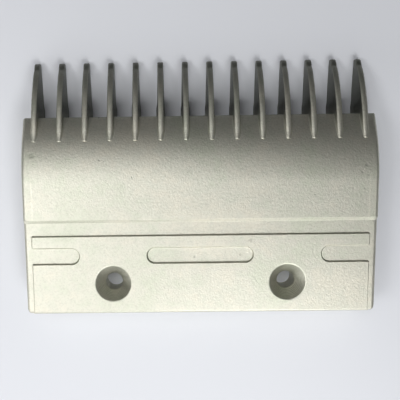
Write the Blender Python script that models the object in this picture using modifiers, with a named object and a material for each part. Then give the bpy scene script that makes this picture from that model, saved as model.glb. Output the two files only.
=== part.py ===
# Escalator comb plate: one aluminium casting that is screwed down at the end of the landing.
# +X runs across the steps, +Y towards the tooth tips and +Z up.
# The origin is under the middle of the outline, and z = 0 is the underside of the teeth.

import math

import bmesh
import bpy
from mathutils import Vector

MM = 0.001

# Teeth, spaced to mesh with the cleats of a step.
TOOTH_COUNT = 14
TOOTH_PITCH = 9.068 * MM
TOP_LAND = 2.05 * MM
TOOTH_BASE = 2.95 * MM
TIP_BASE = 2.15 * MM
ROOT_THICKNESS = 3.3 * MM
ROOT_FLARE = 3.5 * MM
RIDGE_START = 62.2 * MM
RIDGE_RADIUS = 57.0 * MM
RIDGE_START_SLOPE = math.radians(7.0)
TIP_RADIUS = 2.4 * MM
TIP_CENTRE_HEIGHT = 1.85 * MM
TIP_BLUNTING = 0.05
TIP_LIFT = 0.9 * MM
TIP_LIFT_LENGTH = 13.0 * MM
TOOTH_EDGE = 0.35 * MM
TOOTH_COLUMNS = 17

# Outline, measured forward from the rear edge, and up from the underside of the teeth.
LENGTH = 90.9 * MM
SIDE_CLEARANCE = 0.08 * MM
HEIGHT = 18.0 * MM
FLANGE_THICKNESS = 13.0 * MM
RIB_REAR = 31.0 * MM
STEP_POSITION = 33.9 * MM
NOSE_CURVE_START = 47.1 * MM
NOSE_RADIUS = 41.0 * MM
FRONT_FACE = 70.9 * MM
SHELL_THICKNESS = 4.2 * MM
WEB_THICKNESS = 3.5 * MM
WEB_DEPTH = 1.0 * MM
EDGE_RADIUS = 0.9 * MM
ARC_STEPS = 8

# The raised pad on the flange, with the rebates and grooves around and in it.
RELIEF_DEPTH = 0.85 * MM
PAD_FRONT = 28.5 * MM
REBATE_WIDTH = 2.75 * MM
SLOT_REAR = 18.6 * MM
SLOT_FRONT = 24.0 * MM
CENTRE_SLOT_HALF = 19.05 * MM
SIDE_SLOT_END = 43.7 * MM
PAD_CORNER = 0.5 * MM
STEP_DRAFT = math.radians(20)

# Two countersunk screw holes.
HOLE_SPACING = 63.0 * MM
HOLE_FROM_REAR = 11.1 * MM
HOLE_DIAMETER = 6.3 * MM
COUNTERSINK_DIAMETER = 12.8 * MM
COUNTERSINK_ANGLE = math.radians(72)
HOLE_STEPS = 32

# Derived sizes.
WIDTH = TOOTH_COUNT * TOOTH_PITCH - 2 * SIDE_CLEARANCE
SEAT_HEIGHT = HEIGHT - FLANGE_THICKNESS
RELIEF_HEIGHT = HEIGHT - RELIEF_DEPTH
PAD_HALF = WIDTH / 2 - REBATE_WIDTH
PAST = 1.0 * MM
CUTTER_LEAD = 0.04 * MM
FLAT_ANGLE = math.radians(0.05)
PART_NAME = "comb_plate"


def clear_scene():
    for obj in list(bpy.data.objects):
        bpy.data.objects.remove(obj, do_unlink=True)
    for group in list(bpy.data.collections):
        bpy.data.collections.remove(group)


def new_collection(name):
    group = bpy.data.collections.new(name)
    bpy.context.scene.collection.children.link(group)
    return group


def cast_aluminium():
    material = bpy.data.materials.new("cast_aluminium")
    material.use_nodes = True
    shader = material.node_tree.nodes["Principled BSDF"]
    shader.inputs["Base Color"].default_value = (0.66, 0.65, 0.58, 1.0)
    shader.inputs["Roughness"].default_value = 0.55
    shader.inputs["Metallic"].default_value = 0.85
    return material


def add_object(name, mesh, group):
    obj = bpy.data.objects.new(name, mesh)
    group.objects.link(obj)
    return obj


def as_cutter(obj):
    obj.hide_render = True
    obj.display_type = "WIRE"
    return obj


def filled_outline(name, outlines, half_depth, group, place=None):
    """A closed mesh from flat outlines: the first is the edge and the others are holes."""
    curve = bpy.data.curves.new(name, "CURVE")
    curve.dimensions = "2D"
    curve.fill_mode = "BOTH"
    curve.extrude = half_depth
    for outline in outlines:
        spline = curve.splines.new("POLY")
        spline.points.add(len(outline) - 1)
        for point, (u, v) in zip(spline.points, outline):
            point.co = (u, v, 0.0, 1.0)
        spline.use_cyclic_u = True
    guide = add_object(name, curve, group)
    graph = bpy.context.evaluated_depsgraph_get()
    mesh = bpy.data.meshes.new_from_object(guide.evaluated_get(graph))
    bpy.data.objects.remove(guide, do_unlink=True)
    tidy = bmesh.new()
    tidy.from_mesh(mesh)
    bmesh.ops.remove_doubles(tidy, verts=tidy.verts, dist=0.0001 * MM)
    if place is not None:
        for vertex in tidy.verts:
            vertex.co = place(vertex.co)
    bmesh.ops.recalc_face_normals(tidy, faces=tidy.faces)
    if tidy.calc_volume(signed=True) < 0:
        bmesh.ops.reverse_faces(tidy, faces=tidy.faces)
    if len(outlines) == 1:
        bmesh.ops.dissolve_limit(tidy, angle_limit=FLAT_ANGLE, verts=[], edges=tidy.edges)
    tidy.to_mesh(mesh)
    tidy.free()
    mesh.name = name
    return add_object(name, mesh, group)


def across(point):
    """Turns a profile drawn in (y, z) so that its depth runs along X."""
    return Vector((point.z, point.x, point.y))


def along(point):
    """Turns a profile drawn in (x, z) so that its depth runs along Y."""
    return Vector((point.x, -point.z, point.y))


def arc(centre, radius, start, end, steps):
    turn = (end - start) / steps
    return [
        (centre[0] + radius * math.cos(start + turn * i), centre[1] + radius * math.sin(start + turn * i))
        for i in range(steps + 1)
    ]


def nose_height(y):
    """Height of the nose's top surface: level, then an arc that falls to the front face."""
    past = max(0.0, y - NOSE_CURVE_START)
    return HEIGHT - NOSE_RADIUS + math.sqrt(NOSE_RADIUS**2 - past**2)


def nose_arc(radius):
    """Points of an arc about the nose's centre, from the front face back to the level part."""
    centre = (NOSE_CURVE_START, HEIGHT - NOSE_RADIUS)
    forward = math.acos((FRONT_FACE - NOSE_CURVE_START) / radius)
    return arc(centre, radius, forward, math.pi / 2, ARC_STEPS)


def section_outline():
    """The casting's section without its teeth, from the rear edge round by the underside."""
    web_foot = SEAT_HEIGHT - WEB_DEPTH
    under = list(reversed(nose_arc(NOSE_RADIUS - SHELL_THICKNESS)))
    web_front = RIB_REAR + WEB_THICKNESS
    rear = [
        (0.0, SEAT_HEIGHT),
        (RIB_REAR, SEAT_HEIGHT),
        (RIB_REAR, web_foot),
        (web_front, web_foot),
        (web_front, under[0][1]),
    ]
    return rear + under + nose_arc(NOSE_RADIUS) + [(0.0, HEIGHT)]


def add_blank(group):
    blank = filled_outline(PART_NAME, [section_outline()], WIDTH / 2, group, across)
    rounding = blank.modifiers.new("edge_rounding", "BEVEL")
    rounding.width = EDGE_RADIUS
    rounding.segments = 2
    rounding.limit_method = "ANGLE"
    rounding.angle_limit = math.radians(40)
    return blank


def ridge_height(y):
    """Height of a tooth's top edge: buried level, then a long arc, then the round tip."""
    centre_y = RIDGE_START - RIDGE_RADIUS * math.sin(RIDGE_START_SLOPE)
    centre_z = nose_height(RIDGE_START) - RIDGE_RADIUS * math.cos(RIDGE_START_SLOPE)
    forward = max(0.0, y - centre_y)
    height = centre_z + math.sqrt(RIDGE_RADIUS**2 - forward**2)
    return min(height, TIP_CENTRE_HEIGHT + tip_rise(y))


def tip_rise(y):
    """Height of the round tip above its own centre, and no limit behind that centre."""
    past = y - (LENGTH - (1.0 - TIP_BLUNTING) * TIP_RADIUS)
    if past <= 0.0:
        return HEIGHT
    return math.sqrt(max(0.0, TIP_RADIUS**2 - past**2))


def foot_height(y):
    """Height of a tooth's lower edge: level, then lifted a little towards the tip."""
    past = max(0.0, y - (LENGTH - TIP_LIFT_LENGTH)) / TIP_LIFT_LENGTH
    lifted = TIP_LIFT * past**2
    return max(lifted, TIP_CENTRE_HEIGHT - tip_rise(y))


def tooth_half(y, drop):
    """Half the thickness of a tooth, where drop runs from 0 at its top edge to 1 at its foot."""
    along_blade = min(1.0, (LENGTH - y) / (LENGTH - FRONT_FACE))
    base = TIP_BASE + (TOOTH_BASE - TIP_BASE) * along_blade
    tooth = TOP_LAND + (base - TOP_LAND) * drop
    root = TOP_LAND + (ROOT_THICKNESS - TOP_LAND) * min(1.0, 2.0 * drop)
    near = (FRONT_FACE + ROOT_FLARE - y) / ROOT_FLARE
    blend = min(1.0, max(0.0, near)) ** 2
    return (tooth + (root - tooth) * blend) / 2


def tooth_stations():
    """Positions along a tooth, closer together where its outline turns at the tip."""
    rear = RIB_REAR + WEB_THICKNESS / 2
    straight = [rear, (rear + RIDGE_START) / 2, RIDGE_START - ROOT_FLARE]
    steps = TOOTH_COLUMNS - len(straight)
    start = RIDGE_START
    curved = [
        start + (LENGTH - start) * math.sin(math.pi / 2 * i / steps) for i in range(steps + 1)
    ]
    return straight + curved


def add_tooth(group):
    """One tooth with the rib that carries it back under the nose, shaped from a divided block."""
    stations = tooth_stations()
    work = bmesh.new()
    bmesh.ops.create_cube(work, size=1.0)
    for i in range(1, len(stations) - 1):
        cut_across(work, Vector((0, 1, 0)), i / (len(stations) - 1) - 0.5)
    cut_across(work, Vector((0, 0, 1)), 0.0)
    for vertex in work.verts:
        station = round((vertex.co.y + 0.5) * (len(stations) - 1))
        y = stations[station]
        drop = 0.5 - vertex.co.z
        top = ridge_height(y)
        z = top + (foot_height(y) - top) * drop
        vertex.co = Vector((math.copysign(tooth_half(y, drop), vertex.co.x), y, z))
    mesh = bpy.data.meshes.new("tooth")
    work.to_mesh(mesh)
    work.free()
    tooth = as_cutter(add_object("tooth", mesh, group))
    tooth.location.x = -(TOOTH_COUNT - 1) / 2 * TOOTH_PITCH
    edges = tooth.modifiers.new("tooth_edges", "BEVEL")
    edges.width = TOOTH_EDGE
    edges.segments = 1
    edges.limit_method = "ANGLE"
    edges.angle_limit = math.radians(60)
    row = tooth.modifiers.new("tooth_row", "ARRAY")
    row.count = TOOTH_COUNT
    row.use_relative_offset = False
    row.use_constant_offset = True
    row.constant_offset_displace = (TOOTH_PITCH, 0.0, 0.0)
    return tooth


def cut_across(work, normal, height):
    everything = work.verts[:] + work.edges[:] + work.faces[:]
    bmesh.ops.bisect_plane(work, geom=everything, plane_co=normal * height, plane_no=normal)


def slot_end(centre_x, side):
    """The round end of a slot, on its left for side -1 and on its right for side 1."""
    radius = (SLOT_FRONT - SLOT_REAR) / 2
    middle = (SLOT_FRONT + SLOT_REAR) / 2
    start = -math.pi / 2 if side > 0 else math.pi / 2
    return arc((centre_x, middle), radius, start, start + math.pi, ARC_STEPS)


def pad_outlines():
    """Plan of the pad: its edge with the two side slots let in, and the centre slot as a hole."""
    radius = (SLOT_FRONT - SLOT_REAR) / 2
    corner = PAD_FRONT - PAD_CORNER
    right = [
        (PAD_HALF, -2 * PAST),
        (PAD_HALF, SLOT_REAR),
        *reversed(slot_end(SIDE_SLOT_END + radius, -1)),
        (PAD_HALF, SLOT_FRONT),
        *arc((PAD_HALF - PAD_CORNER, corner), PAD_CORNER, 0.0, math.pi / 2, 3),
    ]
    left = [(-x, y) for x, y in reversed(right)]
    slot = slot_end(CENTRE_SLOT_HALF - radius, 1) + slot_end(radius - CENTRE_SLOT_HALF, -1)
    return [right + left, slot]


def add_pad_keep(group):
    """The block that shields the pad while the relief around it is cut."""
    def lift(point):
        return Vector((point.x, point.y, point.z + HEIGHT))

    return as_cutter(filled_outline("pad_keep", pad_outlines(), 2 * RELIEF_DEPTH, group, lift))


def relief_outline():
    """Section of the relief cutter: level over the flange, and rounding its two side edges."""
    side = WIDTH / 2 + CUTTER_LEAD
    right = arc((side - EDGE_RADIUS, RELIEF_HEIGHT - EDGE_RADIUS), EDGE_RADIUS, math.pi / 2, 0.0, 4)
    over = HEIGHT + PAST
    right = right + [(side + PAST, RELIEF_HEIGHT - EDGE_RADIUS), (side + PAST, over)]
    return right + [(-x, z) for x, z in reversed(right)]


def add_relief(group):
    """Cutter for the groove behind the nose, the side rebates and the slots in the pad."""
    length = STEP_POSITION + PAST

    def place(point):
        moved = along(point)
        moved.y += length / 2 - PAST
        if moved.y > 0:
            moved.y += (moved.z - RELIEF_HEIGHT) * math.tan(STEP_DRAFT)
        return moved

    relief = as_cutter(filled_outline("relief", [relief_outline()], length / 2, group, place))
    keep = relief.modifiers.new("pad", "BOOLEAN")
    keep.operation = "DIFFERENCE"
    keep.solver = "EXACT"
    keep.object = add_pad_keep(group)
    return relief


def add_screw_hole(group, name, x):
    """Cutter for one hole: a cone for the screw's head and a straight bore through the flange."""
    bore = HOLE_DIAMETER / 2
    sink = COUNTERSINK_DIAMETER / 2
    slope = math.tan(COUNTERSINK_ANGLE / 2)
    over = HEIGHT + PAST
    profile = [
        (0.0, over),
        (sink + PAST * slope, over),
        (bore, HEIGHT - (sink - bore) / slope),
        (bore, SEAT_HEIGHT - PAST),
        (0.0, SEAT_HEIGHT - PAST),
    ]
    mesh = bpy.data.meshes.new(name)
    edges = [(i, i + 1) for i in range(len(profile) - 1)]
    mesh.from_pydata([(r, 0.0, z) for r, z in profile], edges, [])
    hole = as_cutter(add_object(name, mesh, group))
    hole.location = (x, HOLE_FROM_REAR, 0.0)
    turn = hole.modifiers.new("turn", "SCREW")
    turn.steps = HOLE_STEPS
    turn.render_steps = HOLE_STEPS
    turn.use_merge_vertices = True
    turn.merge_threshold = 0.001 * MM
    return hole


def boolean(target, name, operation, other):
    step = target.modifiers.new(name, "BOOLEAN")
    step.operation = operation
    step.solver = "EXACT"
    step.object = other


def shade(obj, material):
    obj.data.materials.append(material)
    obj.data.shade_smooth()
    obj.data.set_sharp_from_angle(angle=math.radians(30))


def main():
    clear_scene()
    parts = new_collection(PART_NAME)
    cutters = new_collection("cutters")
    plate = add_blank(parts)
    boolean(plate, "relief", "DIFFERENCE", add_relief(cutters))
    boolean(plate, "teeth", "UNION", add_tooth(cutters))
    for name, side in (("hole_left", -1), ("hole_right", 1)):
        hole = add_screw_hole(cutters, name, side * HOLE_SPACING / 2)
        boolean(plate, name, "DIFFERENCE", hole)
    shade(plate, cast_aluminium())
    centre = bpy.data.objects.new("origin", None)
    parts.objects.link(centre)
    centre.location.y = -LENGTH / 2
    for obj in [plate] + list(cutters.objects):
        obj.parent = centre


main()
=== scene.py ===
import math

import bpy
import numpy as np
from mathutils import Matrix, Vector


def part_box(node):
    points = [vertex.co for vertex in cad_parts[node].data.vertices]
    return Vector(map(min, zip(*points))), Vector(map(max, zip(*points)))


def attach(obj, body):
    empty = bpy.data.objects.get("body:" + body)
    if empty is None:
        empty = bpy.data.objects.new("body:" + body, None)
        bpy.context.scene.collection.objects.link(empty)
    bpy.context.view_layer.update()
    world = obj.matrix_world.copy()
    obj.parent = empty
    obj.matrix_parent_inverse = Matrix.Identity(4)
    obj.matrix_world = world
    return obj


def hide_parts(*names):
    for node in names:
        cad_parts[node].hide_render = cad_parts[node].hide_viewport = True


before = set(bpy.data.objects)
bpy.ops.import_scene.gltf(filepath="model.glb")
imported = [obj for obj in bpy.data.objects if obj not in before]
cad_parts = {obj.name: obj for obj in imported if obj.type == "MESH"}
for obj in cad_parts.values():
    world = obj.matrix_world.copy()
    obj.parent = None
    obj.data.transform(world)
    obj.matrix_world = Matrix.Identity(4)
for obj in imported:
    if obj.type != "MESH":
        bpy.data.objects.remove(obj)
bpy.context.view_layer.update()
cadLow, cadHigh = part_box("comb_plate")
mm = 0.001

# every shape below is drawn in millimetres: x across, y forward from the rear edge, z up from the tooth feet
halfWidth = cadHigh[0] / mm
rearY = cadLow[1] / mm


def closedLoft(rings):
    # rings is (sections, points, 3): quads join each ring to the next, and the two end rings are filled flat
    sections, points = rings.shape[:2]
    spots = np.arange(sections * points).reshape(sections, points)
    ahead = np.roll(spots, -1, axis=1)
    quads = np.stack([spots[:-1], ahead[:-1], ahead[1:], spots[1:]], axis=-1).reshape(-1, 4)
    faces = quads.tolist() + [spots[0][::-1].tolist(), spots[-1].tolist()]
    return rings.reshape(-1, 3), faces


def signedVolume(verts, faces):
    # sum of the tetrahedra from the origin to each fan triangle of each face
    total = 0.0
    for size in {len(face) for face in faces}:
        group = np.array([face for face in faces if len(face) == size])
        first = verts[group[:, 0]]
        for i in range(1, size - 1):
            total += np.einsum("ij,ij->i", first, np.cross(verts[group[:, i]], verts[group[:, i + 1]])).sum()
    return total / 6


def meshObject(name, shells):
    # one object of closed shells, each turned to face outwards, placed in the frame in metres
    allVerts, allFaces, start = [], [], 0
    for verts, faces in shells:
        if signedVolume(verts, faces) < 0:
            faces = [face[::-1] for face in faces]
        allVerts.append(verts)
        allFaces += [[index + start for index in face] for face in faces]
        start += len(verts)
    placed = (np.concatenate(allVerts) + (0.0, rearY, 0.0)) * mm
    mesh = bpy.data.meshes.new(name)
    mesh.from_pydata(placed.tolist(), [], allFaces)
    mesh.update()
    item = bpy.data.objects.new(name, mesh)
    bpy.context.scene.collection.objects.link(item)
    return item


def roundedPath(corners, radii, steps, closed=True):
    # corner points with each corner swapped for a tangent arc: the arc starts radius / tan(half the corner) before it
    corners = np.asarray(corners, float)
    out = []
    last = len(corners)
    for i in range(last):
        here, radius = corners[i], radii[i]
        if radius <= 0 or (not closed and i in (0, last - 1)):
            out.append(here[None])
            continue
        back = corners[i - 1] - here
        on = corners[(i + 1) % last] - here
        back, on = back / np.linalg.norm(back), on / np.linalg.norm(on)
        half = math.acos(float(np.clip(back @ on, -1, 1))) / 2
        if half > math.pi / 2 - 1e-4:  # the path runs straight on here
            out.append(here[None])
            continue
        lead = radius / math.tan(half)
        middle = here + (back + on) / np.linalg.norm(back + on) * radius / math.sin(half)
        fromMiddle = here + back * lead - middle
        toMiddle = here + on * lead - middle
        sweep = math.pi - 2 * half
        turn = np.linspace(0, 1, steps)[:, None]
        blend = (np.sin((1 - turn) * sweep) * fromMiddle + np.sin(turn * sweep) * toMiddle) / math.sin(sweep)
        out.append(middle + blend)
    return np.concatenate(out)


def pathNormals(path):
    # outward normal at each point of a closed path: the mean of its two sides' normals
    side = np.roll(path, -1, axis=0) - path
    side /= np.linalg.norm(side, axis=1)[:, None]
    normal = np.stack([side[:, 1], -side[:, 0]], axis=1)
    normal = normal + np.roll(normal, 1, axis=0)
    normal /= np.linalg.norm(normal, axis=1)[:, None]
    area = np.sum(path[:, 0] * np.roll(path[:, 1], -1) - np.roll(path[:, 0], -1) * path[:, 1])
    return normal if area > 0 else -normal


def smoothRise(value, start, end):
    # 0 before start, 1 after end, and 3t squared minus 2t cubed between them
    t = np.clip((value - start) / (end - start), 0, 1)
    return t * t * (3 - 2 * t)


body = dict(
    top=18.0, seat=5.0, ribRear=31.0, webFront=34.5, webFoot=4.0,
    noseStart=47.1, noseRadius=41.0, shell=4.2, front=70.9,
    edge=0.9, shoulderEdge=0.45, webEdge=0.7, innerCorner=1.5, frontFoot=0.85, frontTop=0.9, frontReach=1.6,
    sideEdge=1.3, sideEdgeAtEnds=0.8, endReach=3.5, lowEdge=0.4, rearCorner=1.6, rearCornerFade=9.0,
)


def noseTop(y):
    # level, then an arc of noseRadius that falls towards the front face
    past = np.clip(y - body["noseStart"], 0, body["noseRadius"] * 0.999)
    return body["top"] - body["noseRadius"] + np.sqrt(body["noseRadius"] ** 2 - past ** 2)


def shellUnderside(y):
    # the same arc a shell thickness further in, level behind it
    inner = body["noseRadius"] - body["shell"]
    past = np.clip(y - body["noseStart"], 0, inner * 0.999)
    return body["top"] - body["noseRadius"] + np.sqrt(inner ** 2 - past ** 2)


def bodySection():
    # side view of the casting without its teeth: flange, web, hollow nose
    b = body
    under = np.linspace(b["noseStart"], b["front"], 30)
    over = np.linspace(b["front"], b["noseStart"], 44)
    corners = [(0, b["seat"]), (b["ribRear"], b["seat"]), (b["ribRear"], b["webFoot"]), (b["webFront"], b["webFoot"]),
               (b["webFront"], float(shellUnderside(0.0)))]
    radii = [b["edge"], b["shoulderEdge"], b["shoulderEdge"], b["webEdge"], b["innerCorner"]]
    underSide = np.stack([under, shellUnderside(under)], axis=1)
    topSide = np.stack([over, noseTop(over)], axis=1)
    corners = np.concatenate([corners, underSide, topSide, [(0, b["top"])]])
    radii += [0] * (len(under) - 1) + [b["frontFoot"], b["frontTop"]] + [0] * (len(over) - 1) + [b["edge"]]
    # the arc's points that the two front roundings swallow are left out, and the front corners stay
    lowCorner = 5 + len(under) - 1
    order = np.arange(len(corners))
    onArcs = (order >= 5) & (order < 5 + len(under) + len(over)) & (order != lowCorner) & (order != lowCorner + 1)
    keep = ~(onArcs & (np.abs(corners[:, 0] - b["front"]) < b["frontReach"]))
    return roundedPath(corners[keep], [r for r, k in zip(radii, keep) if k], steps=8)


def bodyShell():
    # the section carried across X, drawn in along its normals over a quarter round at each side:
    # a large round along the top, smaller where the section's own corners are tight
    section = bodySection()
    normal = pathNormals(section)
    y, z = section[:, 0], section[:, 1]
    onTop = z > noseTop(y) - 1.0
    reach = np.clip(np.minimum(y, body["front"] - y) / body["endReach"], 0, 1)
    topEdge = body["sideEdgeAtEnds"] + (body["sideEdge"] - body["sideEdgeAtEnds"]) * reach
    radius = np.where(onTop, topEdge, body["lowEdge"])[None]
    turn = np.linspace(math.pi / 2, 0, 12)[:, None]
    fromSide = radius * (1 - np.sin(turn))
    inset = np.minimum(radius - radius * np.cos(turn), radius * 0.985)
    further = radius + (body["rearCorner"] - radius) * np.array([0.25, 0.5, 0.75, 1.0])[:, None]  # for the rear corners
    across = halfWidth - np.concatenate([fromSide, further])
    inset = np.concatenate([inset, 0 * further])
    xs = np.concatenate([-across, across[::-1]])
    inset = np.concatenate([inset, inset[::-1]])[..., None]
    drawn = section[None] - normal[None] * inset
    ys = drawn[..., 0] + rearRounding(xs, drawn[..., 0])
    return closedLoft(np.dstack([xs, ys, drawn[..., 1]]))


def rearRounding(x, y):
    # how far the plan's two rear corners draw forward: a quarter round at the rear edge that fades along Y
    radius = body["rearCorner"]
    past = np.clip(np.abs(x) - (halfWidth - radius), 0, radius * 0.999)
    return (radius - np.sqrt(radius ** 2 - past ** 2)) * np.clip(1 - y / body["rearCornerFade"], 0, 1)


relief = dict(
    floor=17.15, stepY=33.22, stepDraft=52.0, stepTop=0.4, stepFoot=0.3,
    padDraft=20.0, padTop=0.36, padFoot=0.24, padHalf=60.75, padFront=28.65, padCorner=0.6,
    slotRear=18.47, slotFront=24.0, sideSlotEnd=43.7, centreSlotHalf=19.05,
)


def wallSection(draft, topRadius, footRadius):
    # a drafted wall from the floor to the top, as (outward, height), with a foot fillet and a rounded top edge
    # both ends pass the faces they meet at a small angle, so that the cut has no tangent contact
    past = 0.05
    slope = math.tan(math.radians(draft))
    depth = body["top"] - relief["floor"]
    low, high = math.tan(math.radians(6)), math.tan(math.radians(10))
    corners = [(-1.0, relief["floor"] - low), (0, relief["floor"]), (depth * slope, body["top"]),
               (depth * slope + 1.0, body["top"] + high)]
    path = roundedPath(corners, [0, footRadius, topRadius, 0], steps=9, closed=False)
    inner = path[1:-1]
    start = inner[0] + (corners[0] - inner[0]) * min(1.0, past / abs(corners[0][1] - inner[0][1] + 1e-9) * 0.5)
    end = inner[-1] + (corners[3] - inner[-1]) * min(1.0, past / abs(corners[3][1] - inner[-1][1]))
    return np.concatenate([[start], inner, [end]])


def edgeDrop(x, edge, radius):
    # how far a surface sinks over a rounded side edge, and on down a steep line past it
    past = np.clip(np.abs(x) - (edge - radius), 0, None)
    arc = np.minimum(past, radius * 0.985)
    return radius - np.sqrt(radius ** 2 - arc ** 2) + np.maximum(0, past - radius * 0.985) * 5


def reliefCutter():
    # a block over the rear of the casting: its floor is level, rounds down at the rear and the sides,
    # and climbs the step behind the nose
    wall = wallSection(relief["stepDraft"], relief["stepTop"], relief["stepFoot"])
    rear = np.array([-2.0, -0.6, -0.15, 0.0, 0.12, 0.3, 0.5, 0.75, 1.0])
    rearFloor = relief["floor"] - edgeDrop(1.0 - rear - 0.02, 1.0, body["edge"])
    profile = np.concatenate([
        np.stack([rear, rearFloor], axis=1),
        [(30.0, relief["floor"])],
        np.stack([relief["stepY"] + wall[1:, 0], wall[1:, 1]], axis=1),
        [(relief["stepY"] + wall[-1, 0] + 0.3, 19.6), (-2.0, 19.6)],
    ])
    # the rows across lie closer together where the side edge is round
    within = np.array([0.0, 0.03, 0.08, 0.16, 0.27, 0.4, 0.56, 0.74, 0.92, 1.12, 1.34, 1.7])
    across = halfWidth + np.concatenate([[1.6], 0.03 - within])
    across = np.concatenate([-across, across[::-1]])
    drop = edgeDrop(across, halfWidth + 0.03, body["sideEdge"])
    sinks = profile[:, 1] < 19.0  # all but the block's own top
    xs, ys = np.meshgrid(across, profile[:, 0], indexing="ij")
    zs = profile[None, :, 1] - drop[:, None] * sinks[None]
    return closedLoft(np.dstack([xs, ys + rearRounding(xs, ys), zs]))


def padOutline():
    # plan of the pad with its two open side slots, each ending in a half round; it runs out past the rear edge
    r = relief
    radius = (r["slotFront"] - r["slotRear"]) / 2
    right = [(r["padHalf"], -6.0), (r["padHalf"], r["slotRear"]), (r["sideSlotEnd"], r["slotRear"]),
             (r["sideSlotEnd"], r["slotFront"]), (r["padHalf"], r["slotFront"]), (r["padHalf"], r["padFront"])]
    radii = [0, r["padCorner"], radius * 0.98, radius * 0.98, r["padCorner"], r["padCorner"]]
    left = [(-x, y) for x, y in reversed(right)]
    return roundedPath(right + left, radii + radii[::-1], steps=12)


def padShield():
    # the pad's outline carried up its wall: drawn in by the wall's outward run at each height
    outline = padOutline()
    normal = pathNormals(outline)
    wall = wallSection(relief["padDraft"], relief["padTop"], relief["padFoot"])
    runs = np.concatenate([[wall[0, 0]], wall[:, 0], [wall[-1, 0]]])
    heights = np.concatenate([[16.4], wall[:, 1], [18.8]])
    drawn = outline[None] - normal[None] * runs[:, None, None]
    zs = np.broadcast_to(heights[:, None], drawn.shape[:2])
    return closedLoft(np.dstack([drawn[..., 0], drawn[..., 1], zs]))


def slotCutter():
    # the centre slot: a long round-ended outline that opens outwards up its wall
    r = relief
    radius = (r["slotFront"] - r["slotRear"]) / 2
    half = r["centreSlotHalf"]
    corners = [(-half, r["slotRear"]), (half, r["slotRear"]), (half, r["slotFront"]), (-half, r["slotFront"])]
    outline = roundedPath(corners, [radius * 0.985] * 4, steps=14)
    normal = pathNormals(outline)
    wall = wallSection(relief["padDraft"], relief["padTop"], relief["padFoot"])[1:]
    runs = np.concatenate([[-0.9], wall[:, 0], [wall[-1, 0]]]) - 0.12
    heights = np.concatenate([[r["floor"] - 0.03], wall[:, 1], [19.2]])
    drawn = outline[None] + normal[None] * runs[:, None, None]
    zs = np.broadcast_to(heights[:, None], drawn.shape[:2])
    return closedLoft(np.dstack([drawn[..., 0], drawn[..., 1], zs]))


holes = dict(spacing=63.0, fromRear=11.1, bore=6.3, sink=12.8, coneAngle=72.0, edgeBreak=0.5, segments=96)


def holeCutter(x):
    # a radius that depends on height, turned about the screw's axis: bore, cone and a small broken rim
    bore, sink, chip = holes["bore"] / 2, holes["sink"] / 2, holes["edgeBreak"]
    coneFoot = body["top"] - (sink - bore) / math.tan(math.radians(holes["coneAngle"] / 2))
    profile = np.array([  # radius and height: the bore's broken lower end, the bore, the cone, the broken rim
        (bore + 0.55, body["seat"] - 0.6), (bore + 0.22, body["seat"] - 0.01), (bore + 0.02, body["seat"] + 0.22),
        (bore, body["seat"] + 0.3), (bore, coneFoot - 0.08), (bore + 0.07, coneFoot + 0.1),
        (sink - chip * 0.3, body["top"] - chip * 0.62), (sink + chip * 0.1, body["top"] - chip * 0.34),
        (sink + chip * 0.6, body["top"] - chip * 0.1), (sink + chip * 1.2, body["top"] + 0.02),
        (sink + chip * 1.6, 19.4),
    ])
    turn = np.linspace(0, 2 * math.pi, holes["segments"], endpoint=False)
    radius, height = profile[:, 0][:, None], profile[:, 1][:, None]
    rings = np.dstack([x + radius * np.cos(turn), holes["fromRear"] + radius * np.sin(turn), height + 0 * turn[None]])
    return closedLoft(rings)


teeth = dict(
    count=14, pitch=9.068, land=2.05, base=2.95, tipBase=2.15, rootHalf=1.62,
    ridgeStart=62.2, ridgeRadius=57.0, startSlope=7.0, startLift=0.28, startLand=1.35,
    length=90.9, tipRadius=2.4, tipCentre=1.85, tipPlan=0.45, blend=1.1,
    footLift=0.9, footLiftLength=13.0, topEdge=0.5, footEdge=0.35, crown=0.07, fillet=0.45,
    creaseY=71.4, creaseHeight=7.5, creaseSlope=0.53, rootThins=(73.6, 76.2),
)


def ridgeTop(y):
    # the ridge leaves the nose on a long arc, which runs into the small arc of the tip
    t = teeth
    slope = math.radians(t["startSlope"])
    centreY = t["ridgeStart"] - t["ridgeRadius"] * math.sin(slope)
    centreZ = float(noseTop(t["ridgeStart"])) - t["ridgeRadius"] * math.cos(slope)
    height = centreZ + np.sqrt(np.maximum(0, t["ridgeRadius"] ** 2 - np.maximum(0, y - centreY) ** 2))
    past = np.clip(y - (t["length"] - t["tipRadius"]), 0, t["tipRadius"])
    tip = t["tipCentre"] + np.sqrt(np.maximum(0, t["tipRadius"] ** 2 - past ** 2))
    tip = tip + np.maximum(0, t["length"] - t["tipRadius"] - y) * 1.2
    lift = t["startLift"] * np.clip(1 - (y - t["ridgeStart"]) / 3.2, 0, 1) ** 2
    share = np.clip(0.5 + (tip - height - lift) / (2 * t["blend"]), 0, 1)  # a smooth minimum of the two
    return tip + (height + lift - tip) * share - t["blend"] * share * (1 - share)


def toothTop(y):
    # buried inside the shell behind the ridge, then the blunt start and the ridge
    t = teeth
    buried = (noseTop(y) + shellUnderside(y)) / 2
    rise = smoothRise(y, t["ridgeStart"] - 0.3, t["ridgeStart"] + 0.12)
    start = noseTop(y) + t["startLift"]
    ridge = np.where(y < t["ridgeStart"], start, ridgeTop(y))
    return buried + (ridge - buried) * rise


def toothFoot(y):
    # level, then lifted a little towards the tip, where it meets the tip's arc
    t = teeth
    lifted = t["footLift"] * (np.clip(y - (t["length"] - t["footLiftLength"]), 0, None) / t["footLiftLength"]) ** 2
    past = np.clip(y - (t["length"] - t["tipRadius"]), 0, t["tipRadius"])
    tip = t["tipCentre"] - np.sqrt(np.maximum(0, t["tipRadius"] ** 2 - past ** 2))
    return np.maximum(lifted, np.where(past > 0, tip, 0))


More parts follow.
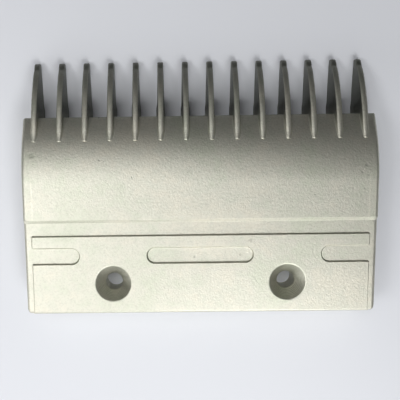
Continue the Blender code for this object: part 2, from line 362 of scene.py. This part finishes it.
def gapToBody(y, z):
    # distance in side view from a point to the body's section, and 0 inside it
    section = bodySection()
    start, end = section, np.roll(section, -1, axis=0)
    run = end - start
    px, py = y[..., None] - start[:, 0], z[..., None] - start[:, 1]
    along = np.clip((px * run[:, 0] + py * run[:, 1]) / np.maximum(1e-12, (run ** 2).sum(1)), 0, 1)
    gap = np.hypot(px - along * run[:, 0], py - along * run[:, 1]).min(-1)
    above = (start[:, 1] > z[..., None]) != (end[:, 1] > z[..., None])
    crossing = start[:, 0] + (z[..., None] - start[:, 1]) * run[:, 0] / np.where(run[:, 1] == 0, 1, run[:, 1])
    inside = ((above & (y[..., None] < crossing)).sum(-1) % 2) == 1
    return np.where(inside, 0, gap)


def toothHalf(y, z, top, foot):
    # half the thickness: drafted from the land to the foot, thicker low down at the root, filleted to the body
    t, b = teeth, body
    blade = np.clip((t["length"] - y) / (t["length"] - b["front"]), 0, 1)
    drop = np.clip((top - z) / np.maximum(0.2, top - foot), 0, 1)
    land = t["startLand"] + (t["land"] - t["startLand"]) * smoothRise(y, t["ridgeStart"] - 0.5, t["ridgeStart"] + 4.2)
    base = t["tipBase"] + (t["base"] - t["tipBase"]) * blade
    half = (land + (base - land) * drop) / 2
    crease = t["creaseHeight"] + (y - t["creaseY"]) * t["creaseSlope"]
    low = smoothRise(crease - z, -0.05, 0.45) * (1 - smoothRise(y, *t["rootThins"]))
    half = half + np.maximum(0, t["rootHalf"] - half) * low
    gap = np.minimum(gapToBody(y, z), t["fillet"])
    half = half + t["fillet"] - np.sqrt(t["fillet"] ** 2 - (t["fillet"] - gap) ** 2)
    past = np.clip(y - (t["length"] - t["tipPlan"]), 0, t["tipPlan"])
    return half - (t["tipPlan"] - np.sqrt(t["tipPlan"] ** 2 - past ** 2))


def toothShell():
    # stations along Y by points round the section: up one flank, over the crowned land and down the other
    t, b = teeth, body
    rear = (b["ribRear"] + b["webFront"]) / 2 + 0.4
    start = t["ridgeStart"]
    y = np.concatenate([
        np.array([rear, 34.45, 34.6, 34.85, 35.3, 40.0, 47.0, 54.0, 59.0]),
        start + np.array([-0.8, -0.3, -0.2, -0.1, 0.0, 0.08, 0.2, 0.5]),
        np.linspace(start + 0.9, b["front"] - 1.0, 18),
        b["front"] + np.array([-0.8, -0.6, -0.4, -0.2, -0.08, 0.04, 0.12, 0.22, 0.34, 0.5, 0.75, 1.1]),
        np.linspace(b["front"] + 1.6, t["length"] - 3.2, 22),
        t["length"] - 2.8 * (1 - np.sin(np.linspace(0.1, 1.5, 18))),
    ])
    top, foot = toothTop(y), toothFoot(y)
    # forward of the nose, the rows that follow its top and underside keep their shares of the tooth's height
    spot = int(np.argmin(np.abs(y - b["front"] + 0.2)))
    noseShare = (float(noseTop(b["front"])) - foot[spot]) / (top[spot] - foot[spot])
    underShare = (float(shellUnderside(b["front"])) - foot[spot]) / (top[spot] - foot[spot])
    nose = np.where(y < b["front"] - 0.1, noseTop(y), foot + (top - foot) * noseShare)
    under = np.where(y < b["front"] - 0.1, shellUnderside(y), foot + (top - foot) * underShare)
    nose = np.minimum(nose, top - 0.02)
    edge = np.minimum(t["topEdge"], (top - foot) * 0.3)
    footEdge = np.minimum(t["footEdge"], (top - foot) * 0.25)
    low = foot[:, None] + footEdge[:, None] * (1 - np.cos(np.linspace(0, math.pi / 2, 5)))[None]
    knee = np.clip(under[:, None] + np.array([-1.2, -0.5, -0.3, -0.15, -0.02])[None], low[:, -1:] + 0.02, None)
    shoulder = nose[:, None] + np.array([-0.4, 0.02, 0.1, 0.22, 0.36, 0.6])[None]
    shoulder = np.minimum(shoulder, (top - edge)[:, None] - 0.02)
    knee = np.minimum(knee, shoulder[:, :1] - 0.02)
    between = shoulder[:, -1:] + ((top - edge)[:, None] - shoulder[:, -1:]) * np.array([0.4, 0.75])[None]
    high = top[:, None] - edge[:, None] * np.cos(np.linspace(0, math.pi / 2, 8))[None]
    z = np.concatenate([low, knee, shoulder, between, high], axis=1)
    z = np.maximum.accumulate(z, axis=1)
    z = np.minimum(z, top[:, None])
    rows = np.broadcast_to(y[:, None], z.shape)
    half = toothHalf(rows, z, top[:, None], foot[:, None])
    # the land's edges and the foot's edges are quarter rounds, and the land is crowned between them
    topTurn = np.clip((z - (top - edge)[:, None]) / edge[:, None], 0, 1)
    footTurn = np.clip(((foot + footEdge)[:, None] - z) / footEdge[:, None], 0, 1)
    half = half - edge[:, None] * (1 - np.sqrt(1 - topTurn ** 2)) - footEdge[:, None] * (1 - np.sqrt(1 - footTurn ** 2))
    half = np.maximum(half, 0.03)
    crownZ = z.copy()
    crownZ[:, -8:] -= t["crown"] * np.linspace(0.6, 1, 8)[None] * (edge[:, None] / t["topEdge"])
    right = np.dstack([half, rows, crownZ])
    middleTop = np.dstack([0 * y, y, top])[0]
    middleFoot = np.dstack([0 * y, y, foot])[0]
    left = right[:, ::-1] * (-1, 1, 1)
    return np.concatenate([middleFoot[:, None], right, middleTop[:, None], left], axis=1)


def toothRow():
    # the same tooth at each pitch, with the row centred
    ring = toothShell()
    shells = []
    for i in range(teeth["count"]):
        shift = (i - (teeth["count"] - 1) / 2) * teeth["pitch"]
        shells.append(closedLoft(ring + (shift, 0, 0)))
    return shells


def combine(target, operation, other):
    step = target.modifiers.new(other.name, "BOOLEAN")
    step.operation = operation
    step.solver = "MANIFOLD"
    step.object = other


def applied(item):
    graph = bpy.context.evaluated_depsgraph_get()
    mesh = bpy.data.meshes.new_from_object(item.evaluated_get(graph))
    item.modifiers.clear()
    item.data = mesh
    return item


def discard(*items):
    for item in items:
        bpy.data.objects.remove(item, do_unlink=True)


def makeCasting():
    # the body, less the relief round its pad, the centre slot and the holes, with the teeth run through it
    casting = meshObject("castCombPlate", [bodyShell()])
    reliefBlock = meshObject("reliefBlock", [reliefCutter()])
    pad = meshObject("padBlock", [padShield()])
    combine(reliefBlock, "DIFFERENCE", pad)
    applied(reliefBlock)
    slots = meshObject("slotBlock", [slotCutter()])
    bores = meshObject("boreBlock", [holeCutter(-holes["spacing"] / 2), holeCutter(holes["spacing"] / 2)])
    row = meshObject("toothBlock", toothRow())
    combine(casting, "DIFFERENCE", reliefBlock)
    combine(casting, "DIFFERENCE", slots)
    combine(casting, "DIFFERENCE", bores)
    combine(casting, "UNION", row)
    applied(casting)
    discard(reliefBlock, pad, slots, bores, row)
    casting.data.shade_smooth()
    casting.data.set_sharp_from_angle(angle=math.radians(32))
    weighted = casting.modifiers.new("evenShading", "WEIGHTED_NORMAL")
    weighted.keep_sharp = True
    weighted.weight = 60
    print("casting:", len(casting.data.polygons), "faces")
    return casting


def linear(code):
    # sRGB hex to linear
    parts = [int(code[i:i + 2], 16) / 255 for i in (1, 3, 5)]
    return tuple(p / 12.92 if p <= 0.04045 else ((p + 0.055) / 1.055) ** 2.4 for p in parts) + (1.0,)


def addNode(tree, kind, settings=(), links=()):
    # settings are attributes and input values, links are sockets, each by the input's name or its number
    node = tree.nodes.new(kind)
    for name, value in dict(settings).items():
        if isinstance(name, str) and name not in node.inputs:
            setattr(node, name, value)
        else:
            node.inputs[name].default_value = value
    for name, socket in dict(links).items():
        tree.links.new(socket, node.inputs[name])
    return node


def blankMaterial(name):
    material = bpy.data.materials.new(name)
    material.use_nodes = True
    return material, material.node_tree, material.node_tree.nodes["Principled BSDF"]


finish = dict(  # sizes in mm
    grainSize=0.72, grainDepth=0.1, speckSize=0.7, mottleSize=5.0, cloudSize=24.0,
    # the dark colour serves both the painted shade on the teeth and the oxide in the countersinks; the light one serves
    # bare spots, two painted glints and the painted highlight over the margins
    green="#c9cbbb", grey="#cecdc0", warm="#d3d0c2", speck="#8f8f80", shadeAndOxide="#6c6e68", stain="#55574b", bareAndHighlight="#e9e6d8",
    roughness=0.5, cutRoughness=0.46, ringPitch=0.42, ringDepth=0.03, stainDepth=0.14, bareHeight=0.08,
    # where the painted shade on the tooth flanks and tips starts and how strong it is, then the painted highlight line
    # over the nose's margins
    shadeFrom=66.0, shadeTo=73.5, flankShade=0.95, tipFrom=77.5, tipTo=89.0, tipShade=0.85,
    marginLine=59.95, marginHighlight=0.4, cutOxide=0.1,
)

# casting blemishes: x, y from the rear edge, z, radius in mm, and how strong, from 0 to 1
stains = [
    (-59.6, 57.6, 16.6, 1.0, 0.24), (-35.4, 55.6, 17.2, 0.4, 0.3), (-33.6, 55.1, 17.2, 0.3, 0.25),
    (-24.0, 49.6, 17.9, 0.3, 0.3), (-23.9, 48.9, 18.0, 0.26, 0.3), (58.8, 52.8, 17.6, 0.6, 0.24),
    (57.3, 50.2, 17.9, 0.5, 0.22), (59.4, 49.2, 17.9, 0.4, 0.2), (58.3, 44.6, 18.0, 0.45, 0.2),
    (-1.9, 20.6, 17.15, 0.4, 0.35), (18.2, 26.5, 17.9, 0.7, 0.22), (14.6, 21.2, 17.15, 0.5, 0.25),
    (30.0, 70.9, 10.6, 0.4, 0.6), (-35.9, 70.9, 10.6, 0.4, 0.6), (41.0, 42.5, 18.0, 0.3, 0.2),
    (-44.5, 12.5, 18.0, 0.3, 0.2),
]
# the two bright spots on the nose's front edge, beside the left flanks of two tooth roots, are painted glints; the rest
# are bare spots
bareSpotsAndGlints = [
    (58.1, 51.4, 17.75, 0.35, 0.4), (59.9, 50.6, 17.8, 0.35, 0.4), (20.8, 71.0, 10.6, 0.35, 0.8),
    (39.0, 71.0, 10.6, 0.35, 0.8), (17.2, 22.2, 17.15, 0.5, 0.5), (-1.2, 21.3, 17.15, 0.3, 0.5),
    (-60.1, 41.0, 18.0, 0.4, 0.5),
]


def castColour(tree, at):
    # green to grey to warm clouds, with fine specks over them
    f = finish
    cloud = addNode(tree, "ShaderNodeTexNoise", {"Scale": 1 / f["cloudSize"], "Detail": 1.0}, {"Vector": at})
    mottle = addNode(tree, "ShaderNodeTexNoise", {"Scale": 1 / f["mottleSize"], "Detail": 5.0, "Roughness": 0.62},
                     {"Vector": at})
    both = addNode(tree, "ShaderNodeMix", {"Factor": 0.6}, {"A": cloud.outputs["Fac"], "B": mottle.outputs["Fac"]})
    tone = addNode(tree, "ShaderNodeValToRGB", {}, {"Fac": both.outputs["Result"]})
    ramp = tone.color_ramp.elements
    ramp[0].position, ramp[0].color = 0.38, linear(f["green"])
    ramp[1].position, ramp[1].color = 0.62, linear(f["warm"])
    ramp.new(0.5).color = linear(f["grey"])
    fine = addNode(tree, "ShaderNodeTexNoise", {"Scale": 1 / f["speckSize"], "Detail": 3.0, "Roughness": 0.7},
                   {"Vector": at})
    specks = addNode(tree, "ShaderNodeMapRange", {"From Min": 0.46, "From Max": 0.70, "To Max": 0.24},
                     {"Value": fine.outputs["Fac"]})
    mixed = addNode(tree, "ShaderNodeMix", {"data_type": "RGBA", 7: linear(f["speck"])},
                    {0: specks.outputs["Result"], 6: tone.outputs["Color"]})
    return mixed.outputs[2]


def paintedShadeShare(tree, axes, level):
    # painted shade: steep faces forward of the nose and the tooth tips are darkened in colour, standing in for the
    # shade and dark reflections on and between the teeth
    f = finish
    steep = addNode(tree, "ShaderNodeMapRange", {"From Min": 0.85, "From Max": 0.35}, {"Value": level})
    front = addNode(tree, "ShaderNodeMapRange",
                    {"From Min": f["shadeFrom"], "From Max": f["shadeTo"], "To Max": f["flankShade"]},
                    {"Value": axes["Y"]})
    flank = addNode(tree, "ShaderNodeMath", {"operation": "MULTIPLY"},
                    {0: steep.outputs["Result"], 1: front.outputs["Result"]})
    tips = addNode(tree, "ShaderNodeMapRange",
                   {"From Min": f["tipFrom"], "From Max": f["tipTo"], "To Max": f["tipShade"]}, {"Value": axes["Y"]})
    shadeAndOxide = addNode(tree, "ShaderNodeMath", {"operation": "MAXIMUM"},
                   {0: flank.outputs["Value"], 1: tips.outputs["Result"]})
    return shadeAndOxide.outputs["Value"]


def spotShare(tree, frayed, spots):
    # the strongest of the spots at each point, by the distance to its centre
    share = None
    for x, y, z, radius, strength in spots:
        centre = (x + 0.5, y + 0.5, z + 0.5)  # the noise that frays the spots is 0.5 on average
        away = addNode(tree, "ShaderNodeVectorMath", {"operation": "DISTANCE", 1: centre}, {0: frayed})
        fade = {"interpolation_type": "SMOOTHSTEP", "From Min": radius * 1.4, "From Max": radius * 0.4,
                "To Max": strength}
        near = addNode(tree, "ShaderNodeMapRange", fade, {"Value": away.outputs["Value"]}).outputs["Result"]
        if share is not None:
            near = addNode(tree, "ShaderNodeMath", {"operation": "MAXIMUM"}, {0: share, 1: near}).outputs["Value"]
        share = near
    return share


def marginHighlightShare(tree, axes, side):
    # a painted highlight: a faint light line where the side margins run on over the nose, standing in for light caught
    # by the seam there
    f = finish
    beyond = addNode(tree, "ShaderNodeMath", {"operation": "SUBTRACT", 1: f["marginLine"]}, {0: side})
    off = addNode(tree, "ShaderNodeMath", {"operation": "ABSOLUTE"}, {0: beyond.outputs["Value"]})
    line = addNode(tree, "ShaderNodeMapRange", {"From Min": 0.4, "From Max": 0.05, "To Max": f["marginHighlight"]},
                   {"Value": off.outputs["Value"]})
    fade = addNode(tree, "ShaderNodeMapRange", {"From Min": 52.0, "From Max": 44.0}, {"Value": axes["Y"]})
    faded = addNode(tree, "ShaderNodeMath", {"operation": "MULTIPLY"},
                    {0: line.outputs["Result"], 1: fade.outputs["Result"]})
    behind = addNode(tree, "ShaderNodeMapRange", {"From Min": 34.2, "From Max": 34.8}, {"Value": axes["Y"]})
    ended = addNode(tree, "ShaderNodeMath", {"operation": "MULTIPLY"},
                    {0: faded.outputs["Value"], 1: behind.outputs["Result"]})
    return ended.outputs["Value"]


def turnedShare(tree, axes, side, level):
    # the sloped and upright faces inside each countersink's rim, and the distance from the screw's axis
    beside = addNode(tree, "ShaderNodeMath", {"operation": "SUBTRACT", 1: holes["spacing"] / 2}, {0: side})
    along = addNode(tree, "ShaderNodeMath", {"operation": "SUBTRACT", 1: holes["fromRear"]}, {0: axes["Y"]})
    flat = addNode(tree, "ShaderNodeCombineXYZ", {}, {"X": beside.outputs["Value"], "Y": along.outputs["Value"]})
    reach = addNode(tree, "ShaderNodeVectorMath", {"operation": "LENGTH"}, {0: flat.outputs["Vector"]}).outputs["Value"]
    rim = holes["sink"] / 2
    within = addNode(tree, "ShaderNodeMapRange", {"From Min": rim + 0.05, "From Max": rim - 0.1}, {"Value": reach})
    sloped = addNode(tree, "ShaderNodeMapRange", {"From Min": 0.95, "From Max": 0.85}, {"Value": level})
    turned = addNode(tree, "ShaderNodeMath", {"operation": "MULTIPLY"},
                     {0: within.outputs["Result"], 1: sloped.outputs["Result"]})
    return turned.outputs["Value"], reach


def castRelief(tree, at, turned, reach, stained, baredAndGlints):
    # grain, pits, bare spots that stand out a little, and turning rings round each screw's axis
    f = finish
    phase = addNode(tree, "ShaderNodeMath", {"operation": "MULTIPLY", 1: 2 * math.pi / f["ringPitch"]}, {0: reach})
    wave = addNode(tree, "ShaderNodeMath", {"operation": "SINE"}, {0: phase.outputs["Value"]})
    rings = addNode(tree, "ShaderNodeMath", {"operation": "MULTIPLY"}, {0: wave.outputs["Value"], 1: turned})
    grain = addNode(tree, "ShaderNodeTexNoise", {"Scale": 1 / f["grainSize"], "Detail": 4.0, "Roughness": 0.65},
                    {"Vector": at})
    calm = addNode(tree, "ShaderNodeMapRange", {"To Min": 1.0, "To Max": 0.25}, {"Value": turned})
    rough = addNode(tree, "ShaderNodeMath", {"operation": "MULTIPLY"},
                    {0: grain.outputs["Fac"], 1: calm.outputs["Result"]})
    normal = addNode(tree, "ShaderNodeBump", {"Strength": 1.0, "Distance": f["grainDepth"] * mm},
                     {"Height": rough.outputs["Value"]})
    heights = ((stained, -f["stainDepth"]), (baredAndGlints, f["bareHeight"]), (rings.outputs["Value"], f["ringDepth"]))
    for height, depth in heights:
        normal = addNode(tree, "ShaderNodeBump", {"Strength": 1.0, "Distance": abs(depth) * mm, "invert": depth < 0},
                         {"Height": height, "Normal": normal.outputs["Normal"]})
    return normal.outputs["Normal"]


def dieCastAluminium():
    # die-cast aluminium, shot-blasted: a dull, warm grey-white metal with a fine grain, a faint greenish cloud,
    # small pits, painted shade on the tooth flanks and tips, a painted highlight over the nose's margins, and turned
    # countersinks
    f = finish
    material, tree, shader = blankMaterial("dieCastAluminium")
    spot = addNode(tree, "ShaderNodeTexCoord")
    at = addNode(tree, "ShaderNodeMapping", {"Location": (0, -rearY, 0), "Scale": (1 / mm,) * 3},
                 {"Vector": spot.outputs["Object"]}).outputs["Vector"]  # in mm, y from the rear edge
    axes = addNode(tree, "ShaderNodeSeparateXYZ", {}, {"Vector": at}).outputs
    surface = addNode(tree, "ShaderNodeNewGeometry")
    facing = addNode(tree, "ShaderNodeSeparateXYZ", {}, {"Vector": surface.outputs["Normal"]}).outputs
    side = addNode(tree, "ShaderNodeMath", {"operation": "ABSOLUTE"}, {0: axes["X"]}).outputs["Value"]
    level = addNode(tree, "ShaderNodeMath", {"operation": "ABSOLUTE"}, {0: facing["Z"]}).outputs["Value"]

    fray = addNode(tree, "ShaderNodeTexNoise", {"Scale": 1.3, "Detail": 3.0}, {"Vector": at})
    frayed = addNode(tree, "ShaderNodeVectorMath", {"operation": "ADD"},
                     {0: fray.outputs["Color"], 1: at}).outputs["Vector"]  # noise breaks up the spots' edges
    stained, baredAndGlints = spotShare(tree, frayed, stains), spotShare(tree, frayed, bareSpotsAndGlints)
    turned, reach = turnedShare(tree, axes, side, level)
    oxide = addNode(tree, "ShaderNodeMath", {"operation": "MULTIPLY", 1: f["cutOxide"]}, {0: turned}).outputs["Value"]

    colour = castColour(tree, at)
    # painted shade on the tooth flanks and tips, stains, bare spots with two painted glints, the painted highlight over
    # the margins, and oxide in the countersinks
    layers = (("shadeAndOxide", paintedShadeShare(tree, axes, level)), ("stain", stained), ("bareAndHighlight", baredAndGlints),
              ("bareAndHighlight", marginHighlightShare(tree, axes, side)), ("shadeAndOxide", oxide))
    for shade, share in layers:
        mixed = addNode(tree, "ShaderNodeMix", {"data_type": "RGBA", 7: linear(f[shade])}, {0: share, 6: colour})
        colour = mixed.outputs[2]
    gloss = addNode(tree, "ShaderNodeMapRange", {"To Min": f["roughness"], "To Max": f["cutRoughness"]},
                    {"Value": turned})
    tree.links.new(colour, shader.inputs["Base Color"])
    tree.links.new(gloss.outputs["Result"], shader.inputs["Roughness"])
    tree.links.new(castRelief(tree, at, turned, reach, stained, baredAndGlints), shader.inputs["Normal"])
    shader.inputs["Metallic"].default_value = 1.0
    return material


def studioFloor():
    # matt laminate table top in a pale bluish white
    material, _, shader = blankMaterial("paleTable")
    shader.inputs["Base Color"].default_value = linear("#dcdee3")
    shader.inputs["Roughness"].default_value = 0.6
    return material


table = dict(radius=0.6, below=0.02)  # metres, and how far under the teeth in mm


def makeFloor():
    # a round table top, just under the teeth
    turn = np.linspace(0, 2 * math.pi, 128, endpoint=False)
    height = cadLow[2] - table["below"] * mm
    rim = np.stack([table["radius"] * np.cos(turn), table["radius"] * np.sin(turn), 0 * turn + height], axis=1)
    mesh = bpy.data.meshes.new("tableTop")
    mesh.from_pydata(rim.tolist(), [], [tuple(range(len(rim)))])
    floor = bpy.data.objects.new("tableTop", mesh)
    bpy.context.scene.collection.objects.link(floor)
    floor.data.materials.append(studioFloor())


lamps = dict(  # soft boxes, in metres and watts; the first three face straight down, the two windows face the casting
    left=dict(place=(-0.30, -0.10, 0.45), size=(0.2, 0.2), power=1.0),
    overhead=dict(place=(-0.10, 0.10, 0.45), size=(0.2, 0.2), power=0.42),
    rearRight=dict(place=(0.10, -0.38, 0.45), size=(0.2, 0.36), power=2.0),
    rearWindow=dict(place=(0.0, -0.95, 0.30), size=(0.7, 0.4), power=1.35, aimed=True),
    leftWindow=dict(place=(-0.75, -0.65, 0.25), size=(0.7, 0.4), power=2.5, aimed=True),
)
room = dict(rear=0.42, low=0.5, lowUpTo=0.16)


def makeLight():
    for name, lamp in lamps.items():
        data = bpy.data.lights.new(name, "AREA")
        data.shape = "RECTANGLE"
        data.size, data.size_y = lamp["size"]
        data.energy = lamp["power"]
        item = bpy.data.objects.new(name, data)
        item.location = lamp["place"]
        if lamp.get("aimed"):
            item.rotation_euler = (Vector((0, 0, 10 * mm)) - Vector(lamp["place"])).to_track_quat("-Z", "Y").to_euler()
        bpy.context.scene.collection.objects.link(item)
    # the room is brighter behind the rear edge, by ((1 - y) / 2) squared with y of the direction,
    # and pale below eye level
    world = bpy.data.worlds.new("room")
    world.use_nodes = True
    tree = world.node_tree
    look = addNode(tree, "ShaderNodeTexCoord")
    split = addNode(tree, "ShaderNodeSeparateXYZ", {}, {"Vector": look.outputs["Generated"]})
    turned = addNode(tree, "ShaderNodeMapRange", {"From Min": 1.0, "From Max": -1.0}, {"Value": split.outputs["Y"]})
    squared = addNode(tree, "ShaderNodeMath", {"operation": "POWER", 1: 2.0}, {0: turned.outputs["Result"]})
    low = addNode(tree, "ShaderNodeMapRange", {"From Min": room["lowUpTo"], "From Max": 0.0, "To Max": room["low"]},
                  {"Value": split.outputs["Z"]})
    level = addNode(tree, "ShaderNodeMath", {"operation": "MULTIPLY_ADD", 1: room["rear"]},
                    {0: squared.outputs["Value"], 2: low.outputs["Result"]})
    tree.links.new(level.outputs["Value"], tree.nodes["Background"].inputs["Strength"])
    tree.nodes["Background"].inputs["Color"].default_value = linear("#fbfcff")
    bpy.context.scene.world = world


cameraFit = dict(  # solved on the photograph's teeth, edges and holes
    centre=(-0.011573, 0.013885, 0.230826),
    right=(0.999842, -0.013948, -0.011011), up=(0.012217, 0.989494, -0.144054), back=(0.012905, 0.143897, 0.989509),
    lens=54.052, sensor=36.0, shift=(0.0999, 0.0897),
)


def makeCamera():
    data = bpy.data.cameras.new("camera")
    data.sensor_fit = "HORIZONTAL"
    data.sensor_width = cameraFit["sensor"]
    data.lens = cameraFit["lens"]
    data.shift_x, data.shift_y = cameraFit["shift"]
    data.clip_start = 0.01
    item = bpy.data.objects.new("camera", data)
    axes = Matrix((cameraFit["right"], cameraFit["up"], cameraFit["back"])).transposed()
    item.matrix_world = Matrix.Translation(cameraFit["centre"]) @ axes.to_4x4()
    bpy.context.scene.collection.objects.link(item)
    bpy.context.scene.camera = item


makeCamera()
print("camera:", cameraFit["lens"], "mm")
makeFloor()
print("floor laid")
makeLight()
print("light:", len(lamps), "lamps")
casting = makeCasting()
casting.data.materials.clear()
casting.data.materials.append(dieCastAluminium())
print("material:", casting.data.materials[0].name)
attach(casting, "root")
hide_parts("comb_plate")
bpy.context.scene.view_settings.view_transform = "Standard"
print("scene made")
